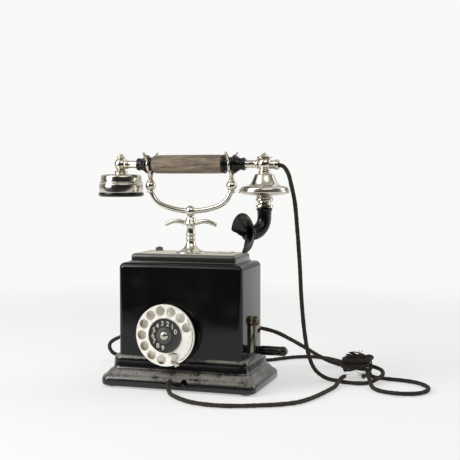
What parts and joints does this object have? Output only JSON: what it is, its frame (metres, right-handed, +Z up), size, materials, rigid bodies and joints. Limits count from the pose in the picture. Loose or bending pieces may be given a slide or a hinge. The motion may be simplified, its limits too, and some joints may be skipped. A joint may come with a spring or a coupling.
{
  "type": "rotary telephone",
  "caption": "Desk telephone: black enamelled case on an ogee base, finger dial, side crank, column with cradle, and a wood-gripped handset with a horn mouthpiece.",
  "frame": {"origin": "on the supporting surface, under the axis of the column", "axes": "+Z up, the dial faces -Y, the crank is on the +X side"},
  "size_m": [0.4613, 0.3332, 0.2978],
  "materials": {
    "base_enamel": "black enamel, dusty and worn",
    "plate_steel": "plain steel",
    "felt": "felted pad",
    "brown_bush": "dark brown fibre",
    "case_enamel": "glossy black enamel",
    "plinth_enamel": "black enamel under grey dust",
    "nickel": "polished nickel, slightly yellowed",
    "copper": "tarnished copper",
    "number_enamel": "black enamel with cream figures",
    "grey_boss": "grey lacquer",
    "brass": "plain brass",
    "crank_metal": "tarnished brass",
    "magnet_iron": "dark iron",
    "winding": "varnished winding",
    "ebonite": "polished black ebonite",
    "wood": "weathered grey-brown wood",
    "handset_braid": "dark brown braid",
    "line_braid": "blackened braid",
    "lead_braid": "dark brown braid"
  },
  "bodies": {
    "stand": {"base_casting": "base_enamel", "bottom_plate": "plate_steel", "feet": "felt", "front_bushes": "brown_bush", "case_shell": "case_enamel", "top_plinth": "plinth_enamel", "hatch_plate": "plinth_enamel", "lock_block": "brown_bush", "column": "nickel", "carrying_arms": "nickel", "back_outlets": "brown_bush", "binding_screw": "copper", "dial_cup": "nickel", "dial_post": "plate_steel", "number_plate": "number_enamel", "dial_centre_boss": "grey_boss", "dial_centre_screw": "nickel", "finger_stop": "nickel", "dial_spring": "plate_steel", "pulse_contacts": "brass", "magneto_frame": "brass", "magnets": "magnet_iron", "crank_bush": "crank_metal", "ringer_frame": "plate_steel", "ringer_coils": "winding", "gongs": "plate_steel", "hook_contacts": "brass", "induction_coil": "winding", "condenser": "plate_steel", "plunger_spring": "plate_steel", "handset_cord_lower": "handset_braid", "line_cord": "line_braid", "front_lead": "lead_braid"},
    "dial_wheel": {"finger_wheel": "nickel", "dial_gear": "brass"},
    "governor_rotor": {"governor": "brass"},
    "crank": {"crank_shaft": "crank_metal", "drive_gear": "brass", "crank_arm": "nickel"},
    "crank_handle": {"crank_grip": "ebonite"},
    "rotor": {"armature": "magnet_iron", "armature_pinion": "brass"},
    "striker": {"clapper": "plate_steel"},
    "cradle": {"plunger_rod": "nickel", "cradle_bow": "nickel", "forks": "nickel"},
    "handset": {"handset_tube": "nickel", "wooden_grip": "wood", "ferrule_left": "ebonite", "ferrule_right": "ebonite", "receiver_yoke": "nickel", "receiver_cup": "nickel", "receiver_cap": "ebonite", "diaphragm": "plate_steel", "transmitter_yoke": "nickel", "transmitter_bell": "nickel", "carbon_capsule": "winding", "transmitter_rim": "nickel", "handset_cord_upper": "handset_braid"},
    "mouthpiece": {"horn": "ebonite"}
  },
  "joints": [
    {"name": "dial_turn", "type": "hinge", "parent": "stand", "child": "dial_wheel", "pos_m": [-0.0117, -0.062, 0.07], "axis": [0, 1, 0], "range_deg": [0, 320], "stiffness_Nm_per_rad": 0.02, "springref_deg": -28.65},
    {"name": "governor_spin", "type": "hinge", "parent": "stand", "child": "governor_rotor", "pos_m": [0.0123, -0.03, 0.07], "axis": [0, 1, 0], "range_deg": [-1290, 10]},
    {"name": "crank_turn", "type": "hinge", "parent": "stand", "child": "crank", "pos_m": [0.08, 0, 0.084], "axis": [1, 0, 0], "continuous": true},
    {"name": "armature_spin", "type": "hinge", "parent": "stand", "child": "rotor", "pos_m": [0, 0, 0.054], "axis": [1, 0, 0], "continuous": true},
    {"name": "crank_grip_spin", "type": "hinge", "parent": "crank", "child": "crank_handle", "pos_m": [0.1, 0, 0.047], "axis": [1, 0, 0], "continuous": true},
    {"name": "clapper_swing", "type": "hinge", "parent": "stand", "child": "striker", "pos_m": [0, 0.022, 0.1092], "axis": [0, 1, 0], "range_deg": [-2, 2], "stiffness_Nm_per_rad": 0.02},
    {"name": "handset_lift", "type": "slide", "parent": "stand", "child": "handset", "axis": [0, 0, 1], "range_m": [0, 0.045]},
    {"name": "cradle_rise", "type": "slide", "parent": "stand", "child": "cradle", "axis": [0, 0, 1], "range_m": [0, 0.005], "deforming": ["plunger_spring"]},
    {"name": "horn_swivel", "type": "hinge", "parent": "handset", "child": "mouthpiece", "pos_m": [0.098, 0, 0.225], "axis": [0, 0, 1], "range_deg": [-60, 60]}
  ],
  "couplings": [
    {"joint": "governor_spin", "follows": "dial_turn", "ratio": -4},
    {"joint": "armature_spin", "follows": "crank_turn", "ratio": -5},
    {"joint": "cradle_rise", "follows": "handset_lift", "ratio": 0.11111}
  ]
}
